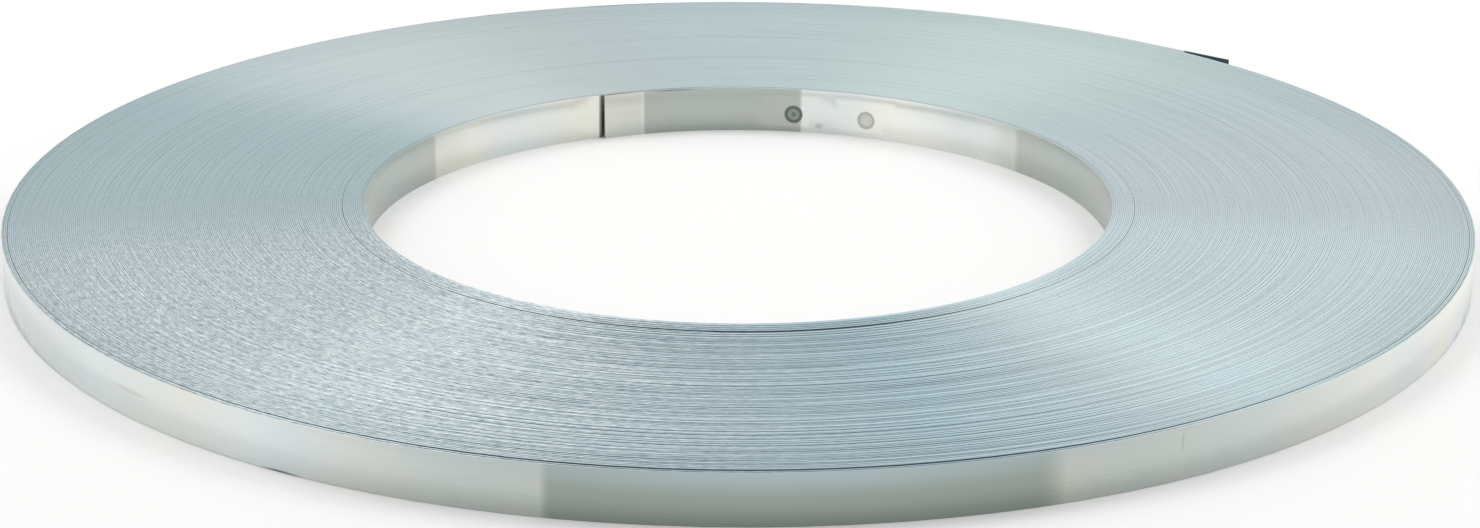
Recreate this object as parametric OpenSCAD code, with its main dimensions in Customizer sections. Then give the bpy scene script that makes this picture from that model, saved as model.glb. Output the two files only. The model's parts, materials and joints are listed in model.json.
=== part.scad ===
// Coil of narrow steel strip, ribbon wound: every turn lies straight on the one before it.
// The coil lies on its end, as it is stored, with its axis on +Z and the floor at z = 0.
// The wound strip is one turned solid. Each turn wanders a little sideways, as wound strip does,
// so a small step marks every joint between turns on both ends.
// Angles are given clockwise from +Y, seen from above, which is the way the strip is wound.

/* [Strip] */
// Width of the strip, which is the height of the coil
strip_w = 13; // [8:0.5:32]
// Thickness of the strip
strip_t = 0.5; // [0.4:0.05:1]

/* [Winding] */
// Diameter of the bore
bore_d = 200; // [150:5:420]
// Number of turns
turns = 190; // [60:1:240]
// How far the turns wander sideways
wander = 0.2; // [0.05:0.05:0.4]
// Turns inside the inner gap, wound before the strip was pulled tight
inner_turns = 12; // [4:1:20]
// Turns outside the outer gap, slackened since the coil was wound
outer_turns = 3; // [2:1:8]
// Width of the two gaps between slack and tight turns
gap_w = 0.3; // [0.1:0.05:0.6]
// Depth to which the two gaps are open
gap_depth = 3; // [1:0.5:3.5]

/* [Inner end of the strip] */
// Angle of the strip's inner end
inner_end_a = -23.5; // [-60:0.5:0]
// Length of strip from the inner end to the first spot weld
weld_start = 57; // [30:1:70]
// Length of strip between the spot welds
weld_pitch = 22; // [10:1:40]
// Number of spot welds
weld_count = 2; // [1:1:3]
// How far the spot welds sit below the middle of the strip
weld_drop = 1.2; // [0:0.1:1.5]
// Diameter of the dish that a welding electrode presses into the strip
weld_d = 5; // [2:0.5:5]
// Depth of that dish
weld_depth = 0.15; // [0.05:0.05:0.3]

/* [Outer end of the strip] */
// Angle of the strip's outer end
outer_end_a = 49.5; // [30:0.5:60]
// Length over which the outer end stands off the coil
tail_l = 26; // [15:1:60]
// Angle at which it leaves the coil
tail_lift = 2; // [1:0.5:6]

/* [Hidden] */
$fn = 180;

bore_r = bore_d / 2;
coil_r = turn_r(turns - 1) + strip_t;
tail_root_a = outer_end_a - atan(tail_l / coil_r);
// Each end of the strip leaves a step, which fades into the round over this arc
fade_arc = 80;
// The step stops just short of the next joint between turns
step = 0.9 * strip_t;
// Golden section: multiples of it never put two neighbouring turns at the same height
golden = (sqrt(5) - 1) / 2;
// Reach of a cutting tool past the faces that it cuts, and of the tail into the coil
past = 1;

// True where a gap lies between turn i and the turn inside it
function after_gap(i) = i == inner_turns || i == turns - outer_turns;

// Radius of the inner face of turn i
function turn_r(i) =
    bore_r + i * strip_t
    + (i >= inner_turns ? gap_w : 0)
    + (i >= turns - outer_turns ? gap_w : 0);

// Height of the lower edge of turn i above the floor, in hundredths of the wander.
// The two innermost turns, which are welded together, are level and touch the floor
function turn_z(i) = wander * round(100 * (max(i - 1, 0) * golden % 1)) / 100;

// Outline of the joint between turn i and the next one, on one end of the coil. side_z is the
// height of that end at the innermost turn, and gap_z the height at the bottom of a gap
function joint(i, side_z, gap_z) =
    let (
        r = turn_r(i) + strip_t,
        next_r = turn_r(i + 1),
        z = side_z + turn_z(i),
        next_z = side_z + turn_z(i + 1)
    )
    after_gap(i + 1) ? [[r, z], [r, gap_z], [next_r, gap_z], [next_r, next_z]]
    : z != next_z ? [[r, z], [r, next_z]]
    : [];

// Outline of a whole end of the coil, from the bore to the outside
function coil_end(side_z, gap_z) = concat(
    [[bore_r, side_z + turn_z(0)]],
    [for (i = [0:turns - 2]) each joint(i, side_z, gap_z)],
    [[coil_r, side_z + turn_z(turns - 1)]]
);

function reversed(points) = [for (i = [len(points) - 1:-1:0]) points[i]];

// Unit vector at an angle clockwise from +Y
function heading(a) = [sin(a), cos(a)];

// The wound turns: a section through the wall of the coil, turned round the axis
module wound_turns() {
    rotate_extrude()
        polygon(concat(
            coil_end(strip_w, strip_w - gap_depth),
            reversed(coil_end(0, gap_depth))
        ));
}

// Prism between two angles, from the axis to well past radius r
module sector(from_a, to_a, r) {
    translate([0, 0, -past])
        linear_extrude(strip_w + wander + 2 * past)
            polygon(concat(
                [[0, 0]],
                [for (a = [from_a, (from_a + to_a) / 2, to_a]) 2 * r * heading(a)]
            ));
}

// Cylinder set off the axis, so that its wall is at radius r at the angle even_a
// and, a fade arc away at step_a, at radius r + rise
module offset_cylinder(r, even_a, step_a, rise) {
    shift = rise / sin(fade_arc);
    shift_a = even_a + (step_a > even_a ? 90 : -90);
    translate([0, 0, -2 * past])
        translate(shift * heading(shift_a))
            cylinder(r = r, h = strip_w + wander + 4 * past);
}

// The bore steps back to the second turn behind the strip's inner end
module inner_step() {
    even_a = inner_end_a - fade_arc;
    intersection() {
        sector(even_a, inner_end_a, bore_r);
        offset_cylinder(bore_r, even_a, inner_end_a, step);
    }
}

// The outside steps in to the turn below where the tail leaves it
module outer_step() {
    even_a = tail_root_a + fade_arc;
    difference() {
        sector(tail_root_a, even_a, coil_r);
        offset_cylinder(coil_r, even_a, tail_root_a, -step);
    }
}

// Outer end of the strip, which springs straight off the coil from a root inside the last turn
module tail() {
    rotate([0, 0, -tail_root_a])
        translate([-past, coil_r - strip_t, turn_z(turns - 1)])
            rotate([0, 0, tail_lift])
                translate([-2 * past, 0, 0])
                    cube([tail_l + 3 * past, strip_t, strip_w]);
}

// Dishes of the spot welds that hold the innermost turn to the next
module weld_dishes() {
    dish_r = (pow(weld_d / 2, 2) + pow(weld_depth, 2)) / (2 * weld_depth);
    for (i = [0:weld_count - 1]) {
        weld_a = inner_end_a + (weld_start + i * weld_pitch) / bore_r * 180 / PI;
        rotate([0, 0, -weld_a])
            translate([0, bore_r + weld_depth - dish_r, strip_w / 2 - weld_drop])
                sphere(r = dish_r);
    }
}

// The whole strip, from its inner end to its tail
module strip_coil() {
    color("#b9c6c9") {
        difference() {
            wound_turns();
            inner_step();
            outer_step();
            weld_dishes();
        }
        tail();
    }
}

strip_coil();
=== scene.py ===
"""Coil of narrow steel strip, ribbon wound, lying on its end on a pale floor.

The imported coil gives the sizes. The strip itself is wound here turn by turn, from its welded
inner end to its loose outer end, and dressed as cold-rolled stainless steel with slit edges.
Lengths are in metres. Angles are in degrees clockwise from +Y, seen from above.
"""

from __future__ import annotations

import json
import logging
import math
import random
from collections.abc import Callable, Iterator
from contextlib import contextmanager
from dataclasses import dataclass, field
from enum import Enum, IntEnum
from typing import Any

import bmesh
import bpy
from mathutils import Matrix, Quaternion, Vector

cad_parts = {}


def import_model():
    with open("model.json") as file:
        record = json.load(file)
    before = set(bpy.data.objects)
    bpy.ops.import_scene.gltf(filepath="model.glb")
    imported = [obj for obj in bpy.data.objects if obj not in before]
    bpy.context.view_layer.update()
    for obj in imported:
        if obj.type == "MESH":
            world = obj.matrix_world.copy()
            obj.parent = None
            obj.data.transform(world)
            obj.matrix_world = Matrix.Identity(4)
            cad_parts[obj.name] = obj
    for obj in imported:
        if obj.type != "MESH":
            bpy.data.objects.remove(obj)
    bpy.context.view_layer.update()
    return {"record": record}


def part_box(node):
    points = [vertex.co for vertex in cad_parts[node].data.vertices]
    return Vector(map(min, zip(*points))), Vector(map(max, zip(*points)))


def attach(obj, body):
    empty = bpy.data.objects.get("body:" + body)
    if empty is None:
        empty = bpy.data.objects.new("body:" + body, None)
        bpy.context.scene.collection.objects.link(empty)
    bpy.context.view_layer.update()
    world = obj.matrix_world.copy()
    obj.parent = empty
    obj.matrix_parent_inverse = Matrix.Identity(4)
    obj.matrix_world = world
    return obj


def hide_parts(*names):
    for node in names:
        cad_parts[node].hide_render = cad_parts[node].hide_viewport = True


LOG = logging.getLogger("steel_coil")
MM = 0.001
NODE = "strip_coil"
BODY = "root"
# Sockets of the mix node, which go by number because their names repeat for each kind of data
VALUE_A, VALUE_B, VALUE_OUT = 2, 3, 0
COLOUR_A, COLOUR_B, COLOUR_OUT = 6, 7, 2
# A face looks along a direction where its normal has more than this share of it
FACING = 0.5
# Angles past half a turn, for a dull, shaded stretch that has no start or no end
NO_START = (-182.0, -181.0)
NO_END = (181.0, 182.0)


class Surface(IntEnum):
    """Material slots of the strip: its broad faces, slit edges, sheared ends and tail, the last two painted
    dark as shade.
    """

    FACE = 0
    EDGE = 1
    END = 2
    TAIL = 3


class Side(Enum):
    """Where a broad face of the wound strip looks."""

    INWARD = "towards the bore"
    OUTWARD = "away from the bore"
    BURIED_INWARD = "towards the bore, on the next turn"
    BURIED_OUTWARD = "away from the bore, under the next turn"


def linear(colour: str) -> tuple[float, float, float, float]:
    """Turns an sRGB hex colour to linear.

    Args:
        colour: The colour as "#rrggbb".

    Returns:
        Linear red, green, blue and an alpha of 1.
    """
    shares = [int(colour[i:i + 2], 16) / 255 for i in (1, 3, 5)]
    return (*[s / 12.92 if s <= 0.04045 else ((s + 0.055) / 1.055) ** 2.4 for s in shares], 1.0)


def add_node(
    tree: bpy.types.NodeTree, kind: str, inputs: dict[str | int, Any] | None = None, **settings: Any
) -> bpy.types.Node:
    """Adds a node with its settings and links.

    Args:
        tree: The node tree to add to.
        kind: The node's type name.
        inputs: A value, or the socket to link from, for each input socket by name or number.
        settings: The node's own properties.

    Returns:
        The new node.
    """
    node = tree.nodes.new(kind)
    for name, value in settings.items():
        setattr(node, name, value)
    for socket, value in (inputs or {}).items():
        if isinstance(value, bpy.types.NodeSocket):
            tree.links.new(value, node.inputs[socket])
        else:
            node.inputs[socket].default_value = value
    return node


def new_material(name: str) -> tuple[bpy.types.Material, bpy.types.NodeTree]:
    """Makes an empty node material.

    Args:
        name: The material's name.

    Returns:
        The material and its node tree.
    """
    material = bpy.data.materials.new(name)
    material.use_nodes = True
    material.node_tree.nodes.clear()
    return material, material.node_tree


def plain_steel(name: str, colour: str, roughness: float) -> bpy.types.Material:
    """Makes a steel finish of one colour.

    Args:
        name: The material's name.
        colour: Its colour as "#rrggbb".
        roughness: Its roughness, from 0 to 1.

    Returns:
        The material.
    """
    material, tree = new_material(name)
    shader = add_node(tree, "ShaderNodeBsdfPrincipled", {
        "Base Color": linear(colour), "Metallic": 1.0, "Roughness": roughness,
    })
    add_node(tree, "ShaderNodeOutputMaterial", {"Surface": shader.outputs["BSDF"]})
    return material


def heading(angle: float) -> Vector:
    """Gives the unit vector at an angle clockwise from +Y."""
    return Vector((math.sin(math.radians(angle)), math.cos(math.radians(angle)), 0))


def angle_of(place: Vector) -> float:
    """Gives the angle of a place, clockwise from +Y."""
    return math.degrees(math.atan2(place.x, place.y))


def activate(*objects: bpy.types.Object) -> None:
    """Selects some objects alone and makes the first one active.

    Args:
        objects: The objects to select.
    """
    bpy.ops.object.select_all(action="DESELECT")
    for item in objects:
        item.select_set(True)
    bpy.context.view_layer.objects.active = objects[0]


@contextmanager
def edit_mode(piece: bpy.types.Object, select: str = "VERT") -> Iterator[None]:
    """Holds one piece in edit mode.

    Args:
        piece: The piece to edit.
        select: What is selected there: VERT, EDGE or FACE.
    """
    activate(piece)
    bpy.ops.object.mode_set(mode="EDIT")
    bpy.ops.mesh.select_mode(type=select)
    yield
    bpy.ops.object.mode_set(mode="OBJECT")


def select_vertices(piece: bpy.types.Object, wanted: Callable[[bmesh.types.BMVert], bool]) -> None:
    """Selects the vertices that a test picks, and the edges and faces between them.

    Args:
        piece: The piece in edit mode.
        wanted: The test of one vertex.
    """
    shape = bmesh.from_edit_mesh(piece.data)
    bpy.ops.mesh.select_all(action="DESELECT")
    for vertex in shape.verts:
        if wanted(vertex):
            vertex.select_set(True)
    shape.select_flush(True)
    bmesh.update_edit_mesh(piece.data)


def apply_modifier(piece: bpy.types.Object, kind: str, **settings: Any) -> None:
    """Adds a modifier to a piece and applies it.

    Args:
        piece: The piece to change.
        kind: The modifier's type name.
        settings: The modifier's properties.
    """
    activate(piece)
    modifier = piece.modifiers.new(kind.title(), kind)
    for name, value in settings.items():
        setattr(modifier, name, value)
    bpy.ops.object.modifier_apply(modifier=modifier.name)


@dataclass(frozen=True)
class DullShadedStretch:
    """Stretch of a rolled face that is rougher, and painted darker as painted reflection and shade.

    Attributes:
        start: Angles between which it sets in.
        end: Angles between which it gives way again.
        depth: How rough and how dark it gets, from 0 to 1.
    """

    start: tuple[float, float]
    end: tuple[float, float]
    depth: float


@dataclass(frozen=True)
class FaceMark:
    """Small round or long mark on a rolled face.

    Attributes:
        side: The face that it is on.
        angle: Angle of its middle.
        height: Height of its middle.
        half_angle: Angle from its middle to its end.
        half_height: Height from its middle to its top.
        colour: Colour of the mark.
        rings: How strong it is at shares of the way from its middle to its rim.
    """

    side: Side
    angle: float
    height: float
    half_angle: float
    half_height: float
    colour: str
    rings: tuple[tuple[float, float], ...]


@dataclass(frozen=True)
class RolledFace:
    """Cold-rolled stainless strip with a mill finish.

    It is bright, with faint lines along its length from the rolls. In olive stretches it is rougher,
    and painted darker as painted reflection of darker surroundings; between turns it is painted
    dark as painted shade. Angles on it are counted from the back of the coil on inward faces and
    from the front on outward ones, positive towards +X.
    """

    bore_radius: float
    outer_radius: float
    # Faces this close to the inside or the outside of the coil are open to view
    skin: float
    marks: tuple[FaceMark, ...]
    # A thin film from annealing tinges the bright face blue in places and cream in others
    bluish: str = "#e8eff1"
    creamy: str = "#f1f0e7"
    film_length: float = 35 * MM
    film_range: tuple[float, float] = (0.35, 0.65)
    # Painted reflection: the colour to which the dull stretches darken
    painted_reflection: str = "#99a39c"
    # Between turns the faces are painted dark, as painted shade where the turns hide one another
    between_turns_shade: str = "#2c3b40"
    bright_roughness: float = 0.18
    dull_roughness: float = 0.34
    line_length: float = 70 * MM
    # Real rolling lines are some 10 microns wide. They are drawn much wider here, to show
    line_width: float = 0.5 * MM
    line_shade: float = 0.06
    line_relief: float = 0.1
    line_depth: float = 0.01 * MM
    # Where these stretches darken the faces, that is painted reflection on the inside and outside of the
    # coil and painted shade between turns
    stretches: dict[Side, tuple[DullShadedStretch, ...]] = field(default_factory=lambda: {
        Side.OUTWARD: (
            DullShadedStretch((-175, -120), (54, 68), 0.16),
            DullShadedStretch((-175, -120), (-58, -43), 0.22),
            DullShadedStretch((-46, -13), (22, 67), 0.64),
            DullShadedStretch((-14.2, -12.2), (20, 25.5), 1.0),
        ),
        Side.INWARD: (
            DullShadedStretch(NO_START, (16, 28), 0.17),
            DullShadedStretch(NO_START, (-58, -40), 0.3),
            DullShadedStretch(NO_START, (-59.5, -57.5), 0.66),
            DullShadedStretch((-23.6, -23.4), (-17, -16), 0.42),
            DullShadedStretch((-17, -16), (10, 11), 0.76),
            DullShadedStretch((28, 42), NO_END, 0.18),
            DullShadedStretch((40, 51), NO_END, 0.38),
            DullShadedStretch((50, 53), NO_END, 0.66),
        ),
        Side.BURIED_INWARD: (
            DullShadedStretch(NO_START, NO_END, 0.32),
        ),
        Side.BURIED_OUTWARD: (
            DullShadedStretch((-42, -4), (6, 45), 1.0),
        ),
    })

    def material(self) -> bpy.types.Material:
        """Makes the finish of the strip's broad faces.

        Returns:
            The material.
        """
        material, tree = new_material("cold_rolled_stainless_face")
        place = add_node(tree, "ShaderNodeTexCoord")
        axes = add_node(tree, "ShaderNodeSeparateXYZ", {0: place.outputs["Object"]})
        outward = self._outward(tree, place)
        angle = self._angle(tree, axes, outward)
        between = self._buried(tree, axes)
        shown, buried = (
            add_node(tree, "ShaderNodeMix", {
                0: outward,
                VALUE_A: self._dull_and_shade(tree, inner, angle),
                VALUE_B: self._dull_and_shade(tree, outer, angle),
            }).outputs[VALUE_OUT]
            for inner, outer in (
                (Side.INWARD, Side.OUTWARD), (Side.BURIED_INWARD, Side.BURIED_OUTWARD)
            )
        )
        dull_and_shade = add_node(tree, "ShaderNodeMix", {
            0: between, VALUE_A: shown, VALUE_B: buried,
        }).outputs[VALUE_OUT]
        lines = self._rolling_lines(tree, place.outputs["Object"])
        colour = self._steel_colour(tree, place.outputs["Object"], between, dull_and_shade, lines)
        for mark in self.marks:
            colour = add_node(tree, "ShaderNodeMix", {
                0: self._mark_share(tree, mark, angle, axes.outputs["Z"], outward),
                COLOUR_A: colour, COLOUR_B: linear(mark.colour),
            }, data_type="RGBA").outputs[COLOUR_OUT]
        roughness = add_node(tree, "ShaderNodeMapRange", {
            "Value": dull_and_shade, "To Min": self.bright_roughness, "To Max": self.dull_roughness,
        })
        relief = add_node(tree, "ShaderNodeBump", {
            "Strength": self.line_relief, "Distance": self.line_depth, "Height": lines,
        })
        shader = add_node(tree, "ShaderNodeBsdfPrincipled", {
            "Base Color": colour, "Metallic": 1.0, "Roughness": roughness.outputs[0],
            "Normal": relief.outputs[0],
        })
        add_node(tree, "ShaderNodeOutputMaterial", {"Surface": shader.outputs["BSDF"]})
        return material

    def _outward(self, tree: bpy.types.NodeTree, place: bpy.types.Node) -> bpy.types.NodeSocket:
        """Tells outward faces from inward ones.

        Args:
            tree: The node tree to add to.
            place: Node that gives the place on the strip and the way that it faces.

        Returns:
            Socket that gives 1 on outward faces and 0 on inward ones.
        """
        facing = add_node(tree, "ShaderNodeVectorMath", {
            0: place.outputs["Object"], 1: place.outputs["Normal"],
        }, operation="DOT_PRODUCT")
        return add_node(tree, "ShaderNodeMath", {
            0: facing.outputs["Value"], 1: 0.0,
        }, operation="GREATER_THAN").outputs[0]

    def _angle(
        self, tree: bpy.types.NodeTree, axes: bpy.types.Node, outward: bpy.types.NodeSocket
    ) -> bpy.types.NodeSocket:
        """Works out the angle of a place, from the back on inward faces and the front on outward ones.

        Args:
            tree: The node tree to add to.
            axes: Node that gives the place on the strip along each axis.
            outward: Socket that gives 1 on outward faces and 0 on inward ones.

        Returns:
            Socket that gives the angle, positive towards +X.
        """
        way = add_node(tree, "ShaderNodeMapRange", {"Value": outward, "To Min": 1.0, "To Max": -1.0})
        ahead = add_node(tree, "ShaderNodeMath", {
            0: axes.outputs["Y"], 1: way.outputs[0],
        }, operation="MULTIPLY")
        angle = add_node(tree, "ShaderNodeMath", {
            0: axes.outputs["X"], 1: ahead.outputs[0],
        }, operation="ARCTAN2")
        return add_node(tree, "ShaderNodeMath", {0: angle.outputs[0]}, operation="DEGREES").outputs[0]

    def _steel_colour(
        self, tree: bpy.types.NodeTree, place: bpy.types.NodeSocket, between: bpy.types.NodeSocket,
        dull_and_shade: bpy.types.NodeSocket, lines: bpy.types.NodeSocket,
    ) -> bpy.types.NodeSocket:
        """Mixes the colour of the steel, before any marks.

        Args:
            tree: The node tree to add to.
            place: Socket that gives the place on the strip.
            between: Socket that gives 1 between turns and 0 on the inside and outside.
            dull_and_shade: Socket that gives how dull the face is and how dark it is painted as reflection
                and shade, from 0 to 1.
            lines: Socket that gives the rolling lines, from 0 to 1.

        Returns:
            Socket that gives the colour.
        """
        noise = add_node(tree, "ShaderNodeTexNoise", {
            "Vector": place, "Scale": 1 / self.film_length, "Detail": 2.0,
        })
        film = add_node(tree, "ShaderNodeMapRange", {
            "Value": noise.outputs[0], "From Min": self.film_range[0], "From Max": self.film_range[1],
        })
        bright = add_node(tree, "ShaderNodeMix", {
            0: film.outputs[0], COLOUR_A: linear(self.bluish), COLOUR_B: linear(self.creamy),
        }, data_type="RGBA").outputs[COLOUR_OUT]
        painted_dark = add_node(tree, "ShaderNodeMix", {
            0: between, COLOUR_A: linear(self.painted_reflection), COLOUR_B: linear(self.between_turns_shade),
        }, data_type="RGBA").outputs[COLOUR_OUT]
        colour = add_node(tree, "ShaderNodeMix", {
            0: dull_and_shade, COLOUR_A: bright, COLOUR_B: painted_dark,
        }, data_type="RGBA").outputs[COLOUR_OUT]
        shade = add_node(tree, "ShaderNodeMapRange", {
            "Value": lines, "To Min": 1 - self.line_shade, "To Max": 1 + self.line_shade,
        })
        return add_node(tree, "ShaderNodeMix", {
            0: 1.0, COLOUR_A: colour, COLOUR_B: shade.outputs[0],
        }, data_type="RGBA", blend_type="MULTIPLY").outputs[COLOUR_OUT]

    def _buried(self, tree: bpy.types.NodeTree, axes: bpy.types.Node) -> bpy.types.NodeSocket:
        """Tells the faces between turns from those on the inside and outside of the coil.

        Args:
            tree: The node tree to add to.
            axes: Node that gives the place on the strip along each axis.

        Returns:
            Socket that gives 1 between turns and 0 on the inside and outside.
        """
        flat = add_node(tree, "ShaderNodeCombineXYZ", {0: axes.outputs["X"], 1: axes.outputs["Y"]})
        radius = add_node(tree, "ShaderNodeVectorMath", {0: flat.outputs[0]}, operation="LENGTH")
        middle = (self.bore_radius + self.outer_radius) / 2
        half_wall = (self.outer_radius - self.bore_radius) / 2
        return add_node(tree, "ShaderNodeMath", {
            0: radius.outputs["Value"], 1: middle, 2: half_wall - self.skin,
        }, operation="COMPARE").outputs[0]

    def _dull_and_shade(
        self, tree: bpy.types.NodeTree, side: Side, angle: bpy.types.NodeSocket
    ) -> bpy.types.NodeSocket:
        """Works out how dull one side is, and how dark it is painted as reflection and shade, at each
        angle.

        Args:
            tree: The node tree to add to.
            side: The side of the strip.
            angle: Socket that gives the angle.

        Returns:
            Socket that gives that share, from 0 to 1.
        """
        total: bpy.types.NodeSocket | float = 0.0
        for stretch in self.stretches[side]:
            rise = add_node(tree, "ShaderNodeMapRange", {
                "Value": angle, "From Min": stretch.start[0], "From Max": stretch.start[1],
            }, interpolation_type="SMOOTHSTEP")
            fall = add_node(tree, "ShaderNodeMapRange", {
                "Value": angle, "From Min": stretch.end[0], "From Max": stretch.end[1],
                "To Min": stretch.depth, "To Max": 0.0,
            }, interpolation_type="SMOOTHSTEP")
            share = add_node(tree, "ShaderNodeMath", {
                0: rise.outputs[0], 1: fall.outputs[0],
            }, operation="MULTIPLY")
            total = add_node(tree, "ShaderNodeMath", {
                0: total, 1: share.outputs[0],
            }, operation="MAXIMUM").outputs[0]
        return total

    def _rolling_lines(
        self, tree: bpy.types.NodeTree, place: bpy.types.NodeSocket
    ) -> bpy.types.NodeSocket:
        """Draws the faint lines that the rolls leave along the strip.

        Args:
            tree: The node tree to add to.
            place: Socket that gives the place on the strip.

        Returns:
            Socket that gives the lines, from 0 to 1.
        """
        stretched = add_node(tree, "ShaderNodeVectorMath", {
            0: place, 1: (1 / self.line_length, 1 / self.line_length, 1 / self.line_width),
        }, operation="MULTIPLY")
        noise = add_node(tree, "ShaderNodeTexNoise", {
            "Vector": stretched.outputs[0], "Scale": 1.0, "Detail": 3.0,
        })
        return noise.outputs[0]

    def _mark_share(
        self, tree: bpy.types.NodeTree, mark: FaceMark, angle: bpy.types.NodeSocket,
        height: bpy.types.NodeSocket, outward: bpy.types.NodeSocket,
    ) -> bpy.types.NodeSocket:
        """Works out how strongly a mark shows.

        Args:
            tree: The node tree to add to.
            mark: The mark.
            angle: Socket that gives the angle.
            height: Socket that gives the height.
            outward: Socket that gives 1 on outward faces and 0 on inward ones.

        Returns:
            Socket that gives the mark's strength, from 0 to 1.
        """
        along = add_node(tree, "ShaderNodeMapRange", {
            "Value": angle, "From Min": mark.angle, "From Max": mark.angle + mark.half_angle,
        }, clamp=False)
        up = add_node(tree, "ShaderNodeMapRange", {
            "Value": height, "From Min": mark.height, "From Max": mark.height + mark.half_height,
        }, clamp=False)
        offset = add_node(tree, "ShaderNodeCombineXYZ", {0: along.outputs[0], 1: up.outputs[0]})
        away = add_node(tree, "ShaderNodeVectorMath", {0: offset.outputs[0]}, operation="LENGTH")
        rings = add_node(tree, "ShaderNodeValToRGB", {0: away.outputs["Value"]})
        stops = rings.color_ramp.elements
        while len(stops) < len(mark.rings):
            stops.new(1.0)
        for stop, (share, strength) in zip(stops, mark.rings):
            stop.position = share
            stop.color = (strength, strength, strength, 1.0)
        flip = {} if mark.side is Side.OUTWARD else {"To Min": 1.0, "To Max": 0.0}
        on_side = add_node(tree, "ShaderNodeMapRange", {"Value": outward, **flip})
        shown = add_node(tree, "ShaderNodeMath", {
            0: rings.outputs[0], 1: on_side.outputs[0],
        }, operation="MULTIPLY")
        return shown.outputs[0]


@dataclass(frozen=True)
class EndShade:
    """Painted light and shade that the coil's end takes on at one side.

    Attributes:
        side: Angle of the middle of that side.
        span: Angle from its middle to its ends.
        colour: The painted colour.
        share: How strong it is at the middle, from 0 to 1.
    """

    side: float
    span: float
    colour: str
    share: float


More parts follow.
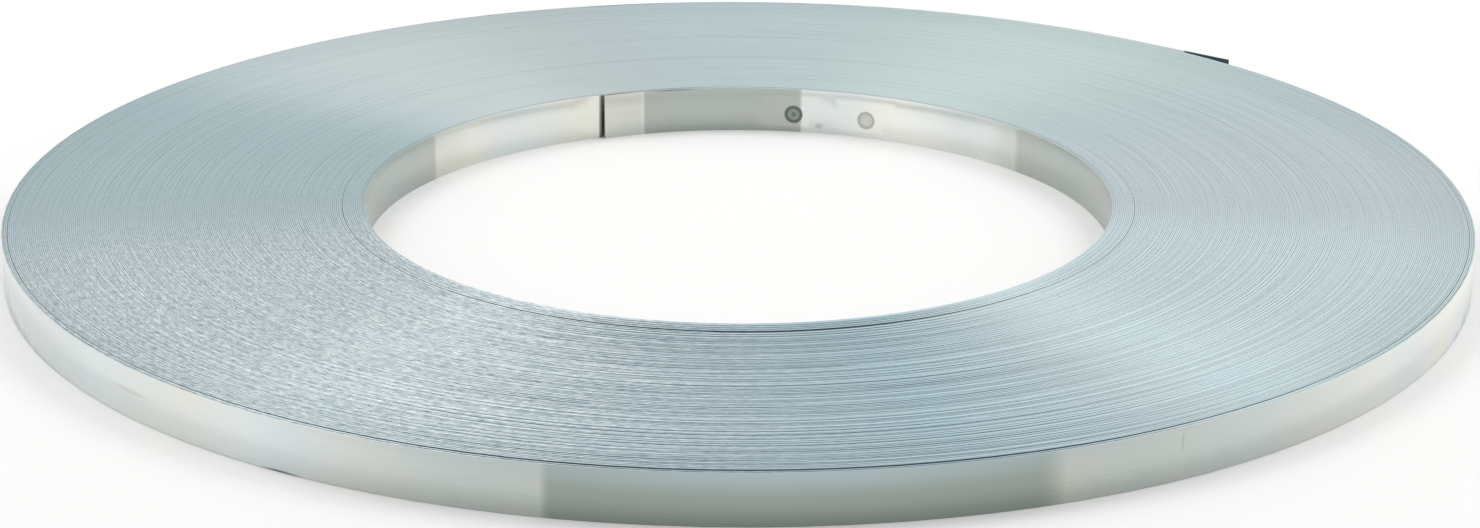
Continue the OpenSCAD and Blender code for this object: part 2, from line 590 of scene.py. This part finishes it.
@dataclass(frozen=True)
class SlitEdge:
    """Slit edge of the same strip: sheared and burnished by the knives, a bluish satin grey.

    The knives wear and are shimmed as they run, so the tone drifts from turn to turn. Some sides of
    the coil's end are painted lighter and others darker, as painted light and shade.
    """

    outer_radius: float
    gap_radii: tuple[float, float]
    light: str = "#bfced2"
    deep: str = "#b7c6cb"
    roughness: float = 0.4
    # The knives' marks run along the edge, so light spreads mostly across it
    anisotropy: float = 0.85
    # Tones change over a few turns, and along a turn over some tens of degrees
    tone_width: float = 1.3 * MM
    tone_length: float = 90 * MM
    # At the front the edge beside each gap is painted dark, as painted shade in the gaps
    gap_shade: str = "#34444a"
    gap_shade_side: float = 176.0
    gap_shade_span: float = 28.0
    gap_shade_share: float = 0.9
    gap_shade_width: float = 0.52 * MM
    # The edge is darker towards the outer rim
    outer_darkening: str = "#8fa3a8"
    outer_darkening_width: float = 22 * MM
    outer_darkening_share: float = 0.2
    # Painted light and shade: some sides of the end are painted lighter and others darker
    side_shades: tuple[EndShade, ...] = (
        EndShade(-85.0, 37.0, "#a1b8bc", 1.0),
        EndShade(-32.0, 26.0, "#bac5c6", 1.0),
        EndShade(32.0, 30.0, "#b7c7c5", 1.0),
        EndShade(122.0, 31.0, "#cbdde1", 1.0),
        EndShade(180.0, 34.0, "#b6d2dc", 0.65),
    )
    # On another side the burrs catch the light, as painted highlights with painted shade between them.
    # Each is finer than a tenth of a millimetre, so they are drawn a whole turn wide, to show
    burr_highlight: str = "#f8fcfd"
    burr_shade: str = "#8aa3ad"
    burr_side: float = -145.0
    burr_span: float = 54.0
    burr_share: float = 0.85
    burr_width: float = 0.5 * MM
    burr_length: float = 2.2 * MM
    # Values of the noise at which a streak is darkest and lightest
    streak_range: tuple[float, float] = (0.3, 0.7)

    def material(self) -> bpy.types.Material:
        """Makes the finish of the strip's narrow edges.

        Returns:
            The material.
        """
        material, tree = new_material("slit_stainless_edge")
        place = add_node(tree, "ShaderNodeTexCoord")
        axes = add_node(tree, "ShaderNodeSeparateXYZ", {0: place.outputs["Object"]})
        across = {0: axes.outputs["X"], 1: axes.outputs["Y"]}
        flat = add_node(tree, "ShaderNodeCombineXYZ", across).outputs[0]
        radius = add_node(tree, "ShaderNodeVectorMath", {0: flat}, operation="LENGTH").outputs["Value"]
        spread = add_node(tree, "ShaderNodeCombineXYZ", {**across, 2: radius}).outputs[0]
        colour = self._toned_and_shaded(tree, flat, spread)
        colour = self._shade_gaps(tree, flat, radius, colour)
        outer_darkening = add_node(tree, "ShaderNodeMapRange", {
            "Value": radius, "From Min": self.outer_radius - self.outer_darkening_width,
            "From Max": self.outer_radius, "To Max": self.outer_darkening_share,
        })
        colour = add_node(tree, "ShaderNodeMix", {
            0: outer_darkening.outputs[0], COLOUR_A: colour, COLOUR_B: linear(self.outer_darkening),
        }, data_type="RGBA").outputs[COLOUR_OUT]
        shader = add_node(tree, "ShaderNodeBsdfPrincipled", {
            "Base Color": colour, "Metallic": 1.0, "Roughness": self.roughness,
            "Anisotropic": self.anisotropy, "Tangent": flat,
        })
        add_node(tree, "ShaderNodeOutputMaterial", {"Surface": shader.outputs["BSDF"]})
        return material

    def _toned_and_shaded(
        self, tree: bpy.types.NodeTree, flat: bpy.types.NodeSocket, spread: bpy.types.NodeSocket
    ) -> bpy.types.NodeSocket:
        """Mixes the tones of the turns, the painted light and shade of the coil's sides and the painted
        highlights of the burrs.

        Args:
            tree: The node tree to add to.
            flat: Socket that gives the place along X and Y.
            spread: Socket that gives the place along X and Y and the radius.

        Returns:
            Socket that gives the colour.
        """
        colour = add_node(tree, "ShaderNodeMix", {
            0: self._streaks(tree, spread, self.tone_length, self.tone_width),
            COLOUR_A: linear(self.deep), COLOUR_B: linear(self.light),
        }, data_type="RGBA").outputs[COLOUR_OUT]
        for side_shade in self.side_shades:
            colour = add_node(tree, "ShaderNodeMix", {
                0: self._side(tree, flat, side_shade.side, side_shade.span, side_shade.share),
                COLOUR_A: colour, COLOUR_B: linear(side_shade.colour),
            }, data_type="RGBA").outputs[COLOUR_OUT]
        burrs = add_node(tree, "ShaderNodeMix", {
            0: self._streaks(tree, spread, self.burr_length, self.burr_width),
            COLOUR_A: linear(self.burr_shade), COLOUR_B: linear(self.burr_highlight),
        }, data_type="RGBA").outputs[COLOUR_OUT]
        return add_node(tree, "ShaderNodeMix", {
            0: self._side(tree, flat, self.burr_side, self.burr_span, self.burr_share),
            COLOUR_A: colour, COLOUR_B: burrs,
        }, data_type="RGBA").outputs[COLOUR_OUT]

    def _shade_gaps(
        self, tree: bpy.types.NodeTree, flat: bpy.types.NodeSocket, radius: bpy.types.NodeSocket,
        colour: bpy.types.NodeSocket,
    ) -> bpy.types.NodeSocket:
        """Darkens the edge beside each gap with painted shade.

        Args:
            tree: The node tree to add to.
            flat: Socket that gives the place along X and Y.
            radius: Socket that gives the radius.
            colour: Socket that gives the colour of the edge without it.

        Returns:
            Socket that gives the colour with the painted shade.
        """
        gap_shaded = self._side(tree, flat, self.gap_shade_side, self.gap_shade_span, self.gap_shade_share)
        for gap_radius in self.gap_radii:
            beside = add_node(tree, "ShaderNodeMath", {
                0: radius, 1: gap_radius, 2: self.gap_shade_width / 2,
            }, operation="COMPARE")
            share = add_node(tree, "ShaderNodeMath", {
                0: beside.outputs[0], 1: gap_shaded,
            }, operation="MULTIPLY")
            colour = add_node(tree, "ShaderNodeMix", {
                0: share.outputs[0], COLOUR_A: colour, COLOUR_B: linear(self.gap_shade),
            }, data_type="RGBA").outputs[COLOUR_OUT]
        return colour

    def _streaks(
        self, tree: bpy.types.NodeTree, spread: bpy.types.NodeSocket, length: float, width: float
    ) -> bpy.types.NodeSocket:
        """Draws streaks that run along the turns.

        Args:
            tree: The node tree to add to.
            spread: Socket that gives the place along X and Y and the radius.
            length: Length of the streaks.
            width: Width of the streaks.

        Returns:
            Socket that gives the streaks, from 0 to 1.
        """
        scaled = add_node(tree, "ShaderNodeVectorMath", {
            0: spread, 1: (1 / length, 1 / length, 1 / width),
        }, operation="MULTIPLY")
        noise = add_node(tree, "ShaderNodeTexNoise", {
            "Vector": scaled.outputs[0], "Scale": 1.0, "Detail": 3.0, "Roughness": 0.6,
        })
        return add_node(tree, "ShaderNodeMapRange", {
            "Value": noise.outputs[0], "From Min": self.streak_range[0], "From Max": self.streak_range[1],
        }).outputs[0]

    def _side(
        self, tree: bpy.types.NodeTree, flat: bpy.types.NodeSocket, middle: float, span: float,
        share: float,
    ) -> bpy.types.NodeSocket:
        """Marks one side of the coil's end.

        Args:
            tree: The node tree to add to.
            flat: Socket that gives the place along X and Y.
            middle: Angle of the middle of the side.
            span: Angle from its middle to its ends.
            share: Strength at its middle.

        Returns:
            Socket that gives the strength.
        """
        outward = add_node(tree, "ShaderNodeVectorMath", {0: flat}, operation="NORMALIZE")
        facing = add_node(tree, "ShaderNodeVectorMath", {
            0: outward.outputs[0], 1: heading(middle),
        }, operation="DOT_PRODUCT")
        return add_node(tree, "ShaderNodeMapRange", {
            "Value": facing.outputs["Value"], "From Min": math.cos(math.radians(span)), "To Max": share,
        }, interpolation_type="SMOOTHSTEP").outputs[0]


@dataclass(frozen=True)
class ShearedEndShade:
    """End of the strip as the shear left it: torn and rough, and painted nearly black as painted shade."""

    colour: str = "#434b4b"
    roughness: float = 0.6

    def material(self) -> bpy.types.Material:
        """Makes the finish of the strip's two ends."""
        return plain_steel("sheared_end_painted_shade", self.colour, self.roughness)


@dataclass(frozen=True)
class ShadedTail:
    """Loose end of the strip, painted dark blue-grey on its upper edge and inside as painted shade of the
    gap behind it.
    """

    colour: str = "#45575f"
    roughness: float = 0.5

    def material(self) -> bpy.types.Material:
        """Makes the finish of the loose end."""
        return plain_steel("tail_painted_shade", self.colour, self.roughness)


@dataclass
class WoundStrip:
    """The strip, wound from its welded inner end to its loose outer end."""

    bore_radius: float
    outer_radius: float
    height: float
    width: float = 13 * MM
    pitch: float = 0.5 * MM
    joint: float = 0.05 * MM
    inner_turns: int = 12
    outer_turns: int = 3
    # The gaps beside the slack turns are this much wider than a joint
    slack: float = 0.07 * MM
    # The inner slack turns have shifted this far to the back and the outer ones to the front, so
    # that both gaps are widest at the front
    sag: float = 0.11 * MM
    # At the gaps a step stands at the front of the coil and fades between these angles from it
    step_fade: tuple[float, float] = (22.0, 48.0)
    burr: float = 0.03 * MM
    segments: int = 112
    inner_end: float = -23.5
    end_lift: float = 0.8 * MM
    end_bend: float = 22 * MM
    welded_turns: int = 2
    weld_start: float = 57 * MM
    weld_pitch: float = 22 * MM
    weld_drop: float = 1.2 * MM
    weld_radius: float = 2.5 * MM
    weld_depth: float = 0.15 * MM
    # In radii of a weld: how far up and down its mesh is finer, and how far its scorched ring reaches
    weld_band: float = 1.4
    weld_ring: float = 1.15
    weld_cuts: int = 7
    outer_end: float = 49.5
    tail_length: float = 26 * MM
    tail_lift: float = 4.0
    tail_segments: int = 5
    tail_shade_length: float = 17 * MM
    corner: float = 0.08 * MM
    corner_segments: int = 2
    # Corners sharper than this are rounded, and faces that meet more gently than this are smooth
    sharp_angle: float = 60.0
    smooth_angle: float = 40.0
    clearance: float = 0.005 * MM
    weave_levels: int = 17
    # The strip keeps to one level for a length between these shares of a turn
    weave_length: tuple[float, float] = (0.08, 0.45)
    weave_back: float = 0.2
    weave_seed: int = 4
    tail_root: float = field(init=False)
    tail_heading: Vector = field(init=False)
    last_part: float = field(init=False)
    tight_turns: int = field(init=False)
    radial_step: float = field(init=False)
    weld_height: float = field(init=False)
    weld_angles: tuple[float, float] = field(init=False)

    def __post_init__(self) -> None:
        """Works out the places of the tail and the welds, and the turns that fill the coil exactly."""
        self.tail_root = self.outer_end - math.degrees(math.atan(self.tail_length / self.outer_radius))
        self.tail_heading = heading(self.tail_root + 90 - self.tail_lift)
        self.last_part = (self.tail_root - self.inner_end) % 360 / 360
        wound = self.outer_radius - self.bore_radius - 2 * self.slack - self.pitch
        whole = round(wound / self.pitch)
        self.tight_turns = whole - self.inner_turns - self.outer_turns
        self.radial_step = wound / (whole + self.last_part)
        self.weld_height = self.width / 2 - self.weld_drop
        first = self.inner_end + math.degrees(self.weld_start / self.bore_radius)
        self.weld_angles = (first, first + math.degrees(self.weld_pitch / self.bore_radius))

    def build(self) -> bpy.types.Object:
        """Winds, stands up, thickens and dresses the strip.

        Returns:
            The finished strip.
        """
        strip = self._wind()
        self._bend_tail(strip)
        self._weave(strip)
        self._lift_inner_end(strip)
        self._stand_up(strip)
        for angle in self.weld_angles:
            self._press_weld(strip, angle)
        self._thicken(strip)
        self._mark_ends(strip)
        self._raise_burr(strip)
        self._round_corners(strip)
        self._dress(strip)
        return strip

    def _stretch(
        self, name: str, start: float, radius: float, turns: float, sag: float
    ) -> bpy.types.Object:
        """Winds one stretch of the strip's middle line, flat on the floor.

        A point is swept up a helix, which is tapered outwards and then pressed flat.

        Args:
            name: The stretch's name.
            start: Angle of its first point.
            radius: Radius of its first point.
            turns: Number of turns.
            sag: How far it has moved towards the front.

        Returns:
            The stretch, as edges with no faces.
        """
        bpy.ops.object.select_all(action="DESELECT")
        bpy.ops.mesh.primitive_plane_add(size=self.pitch)
        stretch = bpy.context.object
        stretch.name = name
        with edit_mode(stretch):
            bpy.ops.mesh.select_all(action="SELECT")
            bpy.ops.mesh.merge(type="CENTER")
            bpy.ops.transform.translate(value=radius * heading(start))
        steps = round(turns * self.segments)
        whole = steps // self.segments
        runs = (whole, self.segments) if whole * self.segments == steps else (1, steps)
        apply_modifier(
            stretch, "SCREW", axis="Z", angle=-math.tau * steps / self.segments / runs[0],
            screw_offset=1 / runs[0], iterations=runs[0], steps=runs[1], render_steps=runs[1],
        )
        growth = steps / self.segments * self.radial_step / radius
        apply_modifier(stretch, "SIMPLE_DEFORM", deform_method="TAPER", deform_axis="Z", factor=growth)
        with edit_mode(stretch):
            bpy.ops.mesh.select_all(action="SELECT")
            bpy.ops.transform.resize(value=(1, 1, 0), center_override=(0, 0, 0))
            bpy.ops.transform.translate(value=(0, -sag, 0))
        return stretch

    def _wind(self) -> bpy.types.Object:
        """Winds the slack inner turns, the tight ones and the slack outer ones, and joins them.

        Returns:
            The strip's middle line from its inner end to the root of its tail.
        """
        start, radius = self.inner_end, self.bore_radius + self.pitch / 2
        link = 1 / self.segments
        stretches = []
        for name, turns, sag in (
            ("slack_inner_turns", self.inner_turns, -self.sag),
            ("tight_turns", self.tight_turns, 0.0),
            ("slack_outer_turns", self.outer_turns + self.last_part - 2 * link, self.sag),
        ):
            stretches.append(self._stretch(name, start, radius, turns, sag))
            start += 360 * link
            radius += (turns + link) * self.radial_step + self.slack
        counts = [len(stretch.data.vertices) for stretch in stretches]
        activate(*stretches)
        bpy.ops.object.join()
        strip = stretches[0]
        strip.name = "wound_strip"
        with edit_mode(strip):
            for last in (counts[0] - 1, counts[0] + counts[1] - 1):
                select_vertices(strip, lambda vertex: vertex.index in (last, last + 1))
                bpy.ops.mesh.edge_face_add()
        return strip

    def _bend_tail(self, strip: bpy.types.Object) -> None:
        """Draws the loose outer end straight off the coil.

        Args:
            strip: The strip's middle line.
        """
        step = self.tail_length / self.tail_segments
        last = len(strip.data.vertices) - 1
        with edit_mode(strip):
            select_vertices(strip, lambda vertex: vertex.index == last)
            for _ in range(self.tail_segments):
                bpy.ops.mesh.extrude_region_move(TRANSFORM_OT_translate={"value": step * self.tail_heading})

    def _levels(self, count: int) -> list[int]:
        """Draws the level, in small steps, at which each point of the strip lies.

        The turns wander more at the front than at the back. The welded turns are level. At the
        front of both gaps the turn inside stands high and the turn outside low, and the loose end
        stands high.

        Args:
            count: Number of points.

        Returns:
            The level of each point, and of some past the last.
        """
        draw = random.Random(self.weave_seed)
        turn = self.segments
        levels: list[int] = []
        while len(levels) < count:
            level = draw.randrange(self.weave_levels)
            levels += [level] * round(draw.uniform(*self.weave_length) * turn)
        top = self.weave_levels - 1
        middle = top / 2
        for i, level in enumerate(levels):
            to_front = (1 - math.cos(math.radians(self.inner_end + 360 * i / turn))) / 2
            share = self.weave_back + (1 - self.weave_back) * to_front ** 2
            levels[i] = round(middle + share * (level - middle))
        welded = self.welded_turns * turn
        levels[:welded] = [0] * welded
        near, far = self.step_fade
        for gap in (self.inner_turns, self.inner_turns + self.tight_turns):
            for i in range(gap * turn, (gap + 1) * turn):
                from_front = abs((self.inner_end + 360 * i / turn) % 360 - 180)
                step = middle * min(max((far - from_front) / (far - near), 0), 1)
                levels[i - turn] = round(middle + step)
                levels[i] = round(middle - step)
        loose = turn // 2
        levels[count - loose:count] = [top] * loose
        return levels

    def _weave(self, strip: bpy.types.Object) -> None:
        """Slips the turns sideways, and groups those that show on the inside and outside.

        Args:
            strip: The strip's middle line.
        """
        count = len(strip.data.vertices)
        levels = self._levels(count)
        rise = (self.height - self.width - 2 * self.clearance) / (self.weave_levels - 1)
        inside = self.segments
        outside = count - self.segments - self.tail_segments
        with edit_mode(strip):
            for level in range(self.weave_levels):
                select_vertices(strip, lambda vertex: levels[vertex.index] == level)
                bpy.ops.transform.translate(value=(0, 0, self.clearance + rise * level))
            select_vertices(strip, lambda vertex: vertex.index < inside or vertex.index > outside)
            bpy.ops.object.vertex_group_add()
            bpy.ops.object.vertex_group_assign()

    def _lift_inner_end(self, strip: bpy.types.Object) -> None:
        """Springs the inner end a little way off the turn behind it.

        Args:
            strip: The strip's middle line.
        """
        with edit_mode(strip):
            select_vertices(strip, lambda vertex: vertex.index == 0)
            bpy.ops.transform.translate(
                value=-self.end_lift * heading(self.inner_end), use_proportional_edit=True,
                proportional_edit_falloff="SMOOTH", proportional_size=self.end_bend,
                use_proportional_connected=True,
            )

    def _stand_up(self, strip: bpy.types.Object) -> None:
        """Stands the strip up on its lower edge.

        Args:
            strip: The strip's middle line, which becomes a ribbon.
        """
        with edit_mode(strip):
            bpy.ops.mesh.select_all(action="SELECT")
            bpy.ops.mesh.extrude_region_move(TRANSFORM_OT_translate={"value": (0, 0, self.width)})
            bpy.ops.mesh.select_all(action="SELECT")
            bpy.ops.mesh.normals_make_consistent(inside=False)

    def _press_weld(self, strip: bpy.types.Object, angle: float) -> None:
        """Presses the dish of one spot weld into the innermost turn.

        Args:
            strip: The strip as a ribbon.
            angle: Angle of the weld.
        """
        centre = self.bore_radius * heading(angle) + Vector((0, 0, self.weld_height))
        reach = math.degrees(self.weld_radius / self.bore_radius) + 360 / self.segments
        band = self.weld_band * self.weld_radius
        slip = 0.01 * MM

        def near(vertex: bmesh.types.BMVert) -> bool:
            """Tells whether a vertex is on the innermost turn, close to the weld's angle."""
            inside = vertex.co.xy.length < self.bore_radius + self.pitch + self.sag
            return inside and abs(angle_of(vertex.co) - angle) < reach

        def in_band(vertex: bmesh.types.BMVert) -> bool:
            """Tells whether a vertex is also as high as the weld."""
            return near(vertex) and abs(vertex.co.z - centre.z) < band + slip

        with edit_mode(strip):
            for level in (centre.z - band, centre.z + band):
                select_vertices(strip, near)
                bpy.ops.mesh.bisect(plane_co=(0, 0, level), plane_no=(0, 0, 1))
            select_vertices(strip, in_band)
            bpy.ops.mesh.subdivide(number_cuts=self.weld_cuts, smoothness=1.0)
            shape = bmesh.from_edit_mesh(strip.data)
            middle = min((v for v in shape.verts if near(v)), key=lambda v: (v.co - centre).length).index
            select_vertices(strip, lambda vertex: vertex.index == middle)
            bpy.ops.transform.translate(
                value=self.weld_depth * heading(angle), use_proportional_edit=True,
                proportional_edit_falloff="SPHERE", proportional_size=self.weld_radius,
                use_proportional_connected=True,
            )

    def _thicken(self, strip: bpy.types.Object) -> None:
        """Gives the ribbon its thickness and its finishes.

        Args:
            strip: The strip as a ribbon.
        """
        face = RolledFace(
            self.bore_radius, self.outer_radius, self.pitch + self.sag + self.joint, self._marks()
        )
        edge = SlitEdge(self.outer_radius, self._gap_radii())
        for finish in (face, edge, ShearedEndShade(), ShadedTail()):
            strip.data.materials.append(finish.material())
        apply_modifier(
            strip, "SOLIDIFY", thickness=self.pitch - self.joint, offset=0.0, use_rim=True,
            use_even_offset=True, material_offset_rim=Surface.EDGE,
        )
        with edit_mode(strip, "FACE"):
            bpy.ops.mesh.select_all(action="SELECT")
            bpy.ops.mesh.normals_make_consistent(inside=False)

    def _mark_ends(self, strip: bpy.types.Object) -> None:
        """Gives the sheared ends and the loose end their finishes of painted shade.

        Args:
            strip: The solid strip.
        """
        root = (self.outer_radius - self.pitch / 2) * heading(self.tail_root)
        across = self.tail_heading.cross(Vector((0, 0, 1)))

        def at_end(face: bmesh.types.BMFace) -> bool:
            """Tells whether a face is an end of the strip."""
            return face.material_index == Surface.EDGE and abs(face.normal.z) < FACING

        def in_tail_shade(face: bmesh.types.BMFace) -> bool:
            """Tells whether a face is on the upper edge or the inside of the loose end."""
            place = face.calc_center_median() - root
            along = place.dot(self.tail_heading)
            loose = abs(place.dot(across)) < self.pitch and along > self.tail_length - self.tail_shade_length
            inside = face.normal.dot(root) < -FACING * root.length
            return loose and (inside or face.normal.z > FACING)

        with edit_mode(strip, "FACE"):
            for slot, wanted in ((Surface.END, at_end), (Surface.TAIL, in_tail_shade)):
                bpy.ops.mesh.select_all(action="DESELECT")
                shape = bmesh.from_edit_mesh(strip.data)
                for face in filter(wanted, shape.faces):
                    face.select_set(True)
                bmesh.update_edit_mesh(strip.data)
                strip.active_material_index = slot
                bpy.ops.object.material_slot_assign()

    def _raise_burr(self, strip: bpy.types.Object) -> None:
        """Slopes the upper edges down towards the bore, so that the outer corner stands up as a burr.

        Args:
            strip: The solid strip.
        """
        def inner_top(vertex: bmesh.types.BMVert) -> bool:
            """Tells whether a vertex is on the upper corner nearer the bore."""
            upper = any(face.normal.z > FACING for face in vertex.link_faces)
            sides = [face.normal for face in vertex.link_faces if face.material_index == Surface.FACE]
            return upper and all(normal.xy.dot(vertex.co.xy) < 0 for normal in sides)

        with edit_mode(strip):
            select_vertices(strip, inner_top)
            bpy.ops.transform.translate(value=(0, 0, -self.burr))

    def _round_corners(self, strip: bpy.types.Object) -> None:
        """Breaks the corners of the turns that show on the inside and outside, and smooths the rest.

        Args:
            strip: The solid strip.
        """
        with edit_mode(strip, "EDGE"):
            bpy.ops.mesh.select_all(action="DESELECT")
            shape = bmesh.from_edit_mesh(strip.data)
            groups = shape.verts.layers.deform.verify()
            for edge in shape.edges:
                sharp = edge.calc_face_angle(0.0) > math.radians(self.sharp_angle)
                if sharp and all(vertex[groups] for vertex in edge.verts):
                    edge.select_set(True)
            bmesh.update_edit_mesh(strip.data)
            bpy.ops.mesh.bevel(offset=self.corner, segments=self.corner_segments, affect="EDGES")
        bpy.ops.object.shade_smooth_by_angle(angle=math.radians(self.smooth_angle))

    def _marks(self) -> tuple[FaceMark, ...]:
        """Lists the marks on the broad faces, among them a painted shadow and a painted reflection.

        Returns:
            The marks, each over those before it.
        """
        ring = self.weld_ring * self.weld_radius
        span = math.degrees(ring / self.bore_radius)
        burnt = (
            (0.0, 0.75), (0.2, 0.85), (0.32, 0.5), (0.52, 0.55), (0.68, 0.95), (0.88, 0.9), (1.0, 0.0)
        )
        pale = ((0.0, 0.25), (0.3, 0.35), (0.55, 0.35), (0.72, 0.55), (0.88, 0.5), (1.0, 0.0))
        soft = ((0.0, 0.4), (0.4, 0.3), (1.0, 0.0))
        dark = ((0.0, 0.9), (0.5, 0.7), (1.0, 0.0))
        band = ((0.0, 0.8), (0.35, 0.6), (1.0, 0.0))
        welds = [
            FaceMark(Side.INWARD, angle, self.weld_height, span, ring, "#59615e", rings)
            for angle, rings in zip(self.weld_angles, (burnt, pale))
        ]
        # Each has a side, the angle and height of its middle, and those from its middle to its rim
        # Painted shadow beside the inner end, where it stands off the turn behind it
        end_shadow = FaceMark(Side.INWARD, self.inner_end - 0.3, 0.0, 0.5, 2 * self.width, "#3b4142", dark)
        rim = FaceMark(Side.INWARD, -11.0, self.width, 5.0, 0.5 * MM, "#5d6568", dark)
        spatter = FaceMark(Side.INWARD, 13.5, 2.2 * MM, 0.9, 1.2 * MM, "#7c847f", soft)
        rub = FaceMark(Side.OUTWARD, -47.5, 7 * MM, 3.0, 0.8 * MM, "#b4baa6", soft)
        nick = FaceMark(Side.OUTWARD, -32.3, 0.0, 2.0, 0.7 * MM, "#4d5352", dark)
        # Painted reflection: the top of the outer face is lighter and bluish at the front
        sheen = FaceMark(Side.OUTWARD, 4.0, self.width, 30.0, 6 * MM, "#b0bfc6", band)
        scratch = FaceMark(Side.OUTWARD, 31.25, 9.5 * MM, 0.12, 3 * MM, "#878d82", soft)
        return (*welds, end_shadow, rim, spatter, rub, nick, sheen, scratch)

    def _gap_radii(self) -> tuple[float, float]:
        """Works out the radius, at the front, of the turn outside each gap.

        Returns:
            The middle radius of the turn outside the inner gap and of that outside the outer gap.
        """
        front = (180 - self.inner_end) / 360
        first = self.bore_radius + self.slack + self.pitch / 2
        inner = first + (self.inner_turns + front) * self.radial_step
        outer = inner + self.tight_turns * self.radial_step + self.slack + self.sag
        return inner, outer

    def _dress(self, strip: bpy.types.Object) -> None:
        """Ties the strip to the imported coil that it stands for.

        Args:
            strip: The finished strip.
        """
        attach(strip, BODY)
        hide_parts(NODE)


@dataclass(frozen=True)
class Softbox:
    """Square lamp with a white front, which faces the coil.

    Attributes:
        name: The lamp's name.
        place: Where it hangs.
        size: Length of its sides.
        power: Its power in watts.
    """

    name: str
    place: tuple[float, float, float]
    size: float
    power: float

    def hang(self) -> None:
        """Hangs the lamp in its place."""
        bpy.ops.object.light_add(type="AREA", location=self.place)
        lamp = bpy.context.object
        lamp.name = self.name
        lamp.data.size = self.size
        lamp.data.energy = self.power
        lamp.rotation_euler = (-Vector(self.place)).to_track_quat("-Z", "Y").to_euler()


@dataclass
class Studio:
    """Pale floor, soft light and the photograph's camera.

    The camera's lens and sensor are in millimetres, and its distance and aim in outer radii of
    the coil.
    """

    coil_radius: float
    lens: float = 90.24
    sensor: float = 36.0
    distance: float = 5.145
    elevation: float = 19.35
    roll: float = 0.277
    aim_right: float = 0.0018
    aim_down: float = 0.0351
    clip_start: float = 0.01
    floor_size: float = 8.0
    floor_colour: str = "#f6f6f5"
    room_light: float = 0.8
    softboxes: tuple[Softbox, ...] = (
        Softbox("left_softbox", (-0.86, 0.4, 1.76), 1.0, 7.5),
        Softbox("right_softbox", (1.08, 0.5, 1.6), 1.0, 7.0),
    )

    def build(self) -> None:
        """Sets up the floor, the world, the lamps and the camera."""
        self._floor()
        self._world()
        for softbox in self.softboxes:
            softbox.hang()
        self._camera()

    def _floor(self) -> None:
        """Lays the pale floor."""
        material, tree = new_material("pale_floor")
        shader = add_node(tree, "ShaderNodeBsdfDiffuse", {"Color": linear(self.floor_colour)})
        add_node(tree, "ShaderNodeOutputMaterial", {"Surface": shader.outputs["BSDF"]})
        bpy.ops.object.select_all(action="DESELECT")
        bpy.ops.mesh.primitive_plane_add(size=self.floor_size)
        floor = bpy.context.object
        floor.name = "floor"
        floor.data.materials.append(material)

    def _world(self) -> None:
        """Lights the scene evenly from all round, and shows white behind it and in the metal."""
        world = bpy.data.worlds.new("white_studio")
        world.use_nodes = True
        tree = world.node_tree
        tree.nodes.clear()
        path = add_node(tree, "ShaderNodeLightPath")
        seen = path.outputs["Is Camera Ray"]
        for ray in ("Is Glossy Ray", "Is Transmission Ray"):
            seen = add_node(tree, "ShaderNodeMath", {
                0: seen, 1: path.outputs[ray],
            }, operation="MAXIMUM").outputs[0]
        strength = add_node(tree, "ShaderNodeMapRange", {
            "Value": seen, "To Min": self.room_light, "To Max": 1.0,
        })
        light = add_node(tree, "ShaderNodeBackground", {
            "Color": (1, 1, 1, 1), "Strength": strength.outputs[0],
        })
        add_node(tree, "ShaderNodeOutputWorld", {"Surface": light.outputs[0]})
        bpy.context.scene.world = world

    def _camera(self) -> None:
        """Sets the camera as it stood for the photograph."""
        aim = self.coil_radius * Vector((self.aim_right, 0, -self.aim_down))
        rise = math.radians(self.elevation)
        place = aim + self.coil_radius * self.distance * Vector((0, -math.cos(rise), math.sin(rise)))
        bpy.ops.object.camera_add(location=place)
        camera = bpy.context.object
        turn = (aim - place).to_track_quat("-Z", "Y") @ Quaternion((0, 0, 1), math.radians(self.roll))
        camera.rotation_euler = turn.to_euler()
        camera.data.lens = self.lens
        camera.data.sensor_width = self.sensor
        camera.data.clip_start = self.clip_start
        bpy.context.scene.camera = camera
        bpy.context.scene.view_settings.view_transform = "Standard"


def main() -> None:
    """Builds the coil and its studio."""
    logging.basicConfig(level=logging.INFO, format="%(name)s: %(message)s")
    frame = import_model()
    low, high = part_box(NODE)
    bore = next(mount for mount in frame["record"]["mounts"] if mount["name"] == "bore")
    strip = WoundStrip(
        bore_radius=bore["dims"]["r_mm"] * MM, outer_radius=high[1], height=high[2] - low[2]
    ).build()
    LOG.info("%s: %d faces", strip.name, len(strip.data.polygons))
    Studio(coil_radius=high[1]).build()


if __name__ == "__main__":
    main()
